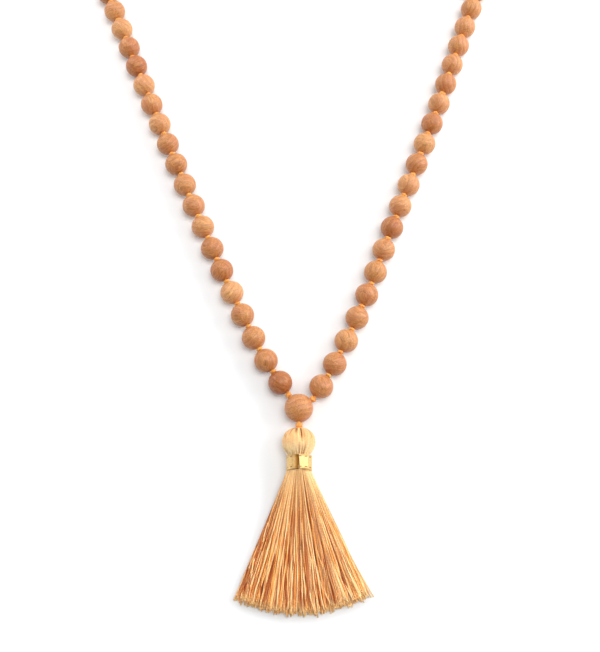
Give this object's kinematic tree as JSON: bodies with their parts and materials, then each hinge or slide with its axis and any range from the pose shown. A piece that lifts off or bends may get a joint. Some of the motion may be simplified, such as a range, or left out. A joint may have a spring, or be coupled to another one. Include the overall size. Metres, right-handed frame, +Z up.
{
  "type": "tassel necklace",
  "caption": "Long knotted strand of round wooden beads closed by a larger guru bead, with a banded silk tassel, lying flat on a surface.",
  "frame": {"origin": "middle of the lying necklace's bounding box, on the surface that it lies on", "axes": "+Z up from the surface, +Y from the tassel towards the back of the neck, +X to the right seen from above"},
  "size_m": [0.2354, 0.4766, 0.0104],
  "materials": {
    "bead_wood": "turned and polished fragrant wood, satin",
    "guru_wood": "turned and polished fragrant wood, satin",
    "knotting_thread": "twisted nylon thread, slight sheen",
    "silk_floss": "lustrous silk-like floss",
    "gold_ribbon": "metallic woven ribbon, glossy"
  },
  "bodies": {
    "root": {"beads": "bead_wood", "guru_bead": "guru_wood", "thread": "knotting_thread", "tassel": "silk_floss", "tassel_band": "gold_ribbon"}
  },
  "joints": []
}
